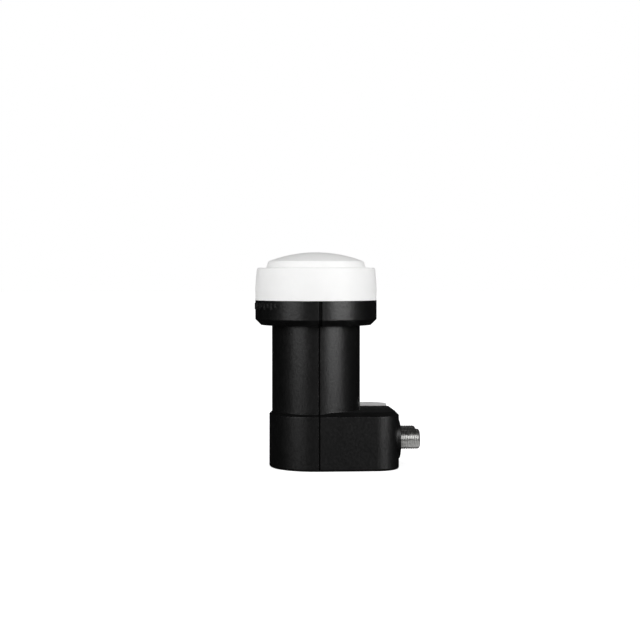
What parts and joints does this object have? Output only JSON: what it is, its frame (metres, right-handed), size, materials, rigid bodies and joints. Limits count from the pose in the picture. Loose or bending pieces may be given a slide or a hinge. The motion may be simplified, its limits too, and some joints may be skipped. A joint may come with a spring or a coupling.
{
  "type": "satellite lnb",
  "caption": "Satellite dish LNB with a 40 mm clamp neck, a white domed feed cap over a black two-part housing, and threaded F-type output ports on the end of its base.",
  "frame": {"origin": "neck axis at the bottom face of the base", "axes": "+Z along the neck to the feed cap, +X to the end of the base that carries the output ports"},
  "size_m": [0.0741, 0.0552, 0.0972],
  "materials": {
    "white_plastic": "smooth moulded white",
    "black_plastic": "satin moulded black",
    "seal_rubber": "smooth rubber",
    "cast_alloy": "as cast",
    "screw_steel": "zinc plated",
    "board_laminate": "solder mask",
    "package_black": "moulded package",
    "crystal_can": "drawn can",
    "capacitor_ceramic": "fired ceramic",
    "choke_ferrite": "ferrite",
    "plate_light": "plain",
    "port_nickel": "nickel plated",
    "port_insulator": "moulded white",
    "contact_brass": "bright"
  },
  "bodies": {
    "root": {"feed_cap": "white_plastic", "cap_seal": "seal_rubber", "housing_round_half": "black_plastic", "housing_port_half": "black_plastic", "horn_casting": "cast_alloy", "back_cover": "cast_alloy", "lid_gasket": "seal_rubber", "cover_screws": "screw_steel", "main_board": "board_laminate", "converter_chip": "package_black", "reference_crystal": "crystal_can", "chip_capacitors": "capacitor_ceramic", "blank_plate": "plate_light", "low_noise_transistor_1": "package_black", "low_noise_transistor_2": "package_black", "low_noise_transistor_3": "package_black", "low_noise_transistor_4": "package_black", "regulator_1": "package_black", "output_choke_1": "choke_ferrite", "port_1_body": "port_nickel", "port_1_front_insulator": "port_insulator", "port_1_rear_insulator": "port_insulator", "port_1_contact": "contact_brass", "port_1_seal": "seal_rubber", "regulator_2": "package_black", "output_choke_2": "choke_ferrite", "port_2_body": "port_nickel", "port_2_front_insulator": "port_insulator", "port_2_rear_insulator": "port_insulator", "port_2_contact": "contact_brass", "port_2_seal": "seal_rubber"}
  },
  "joints": []
}
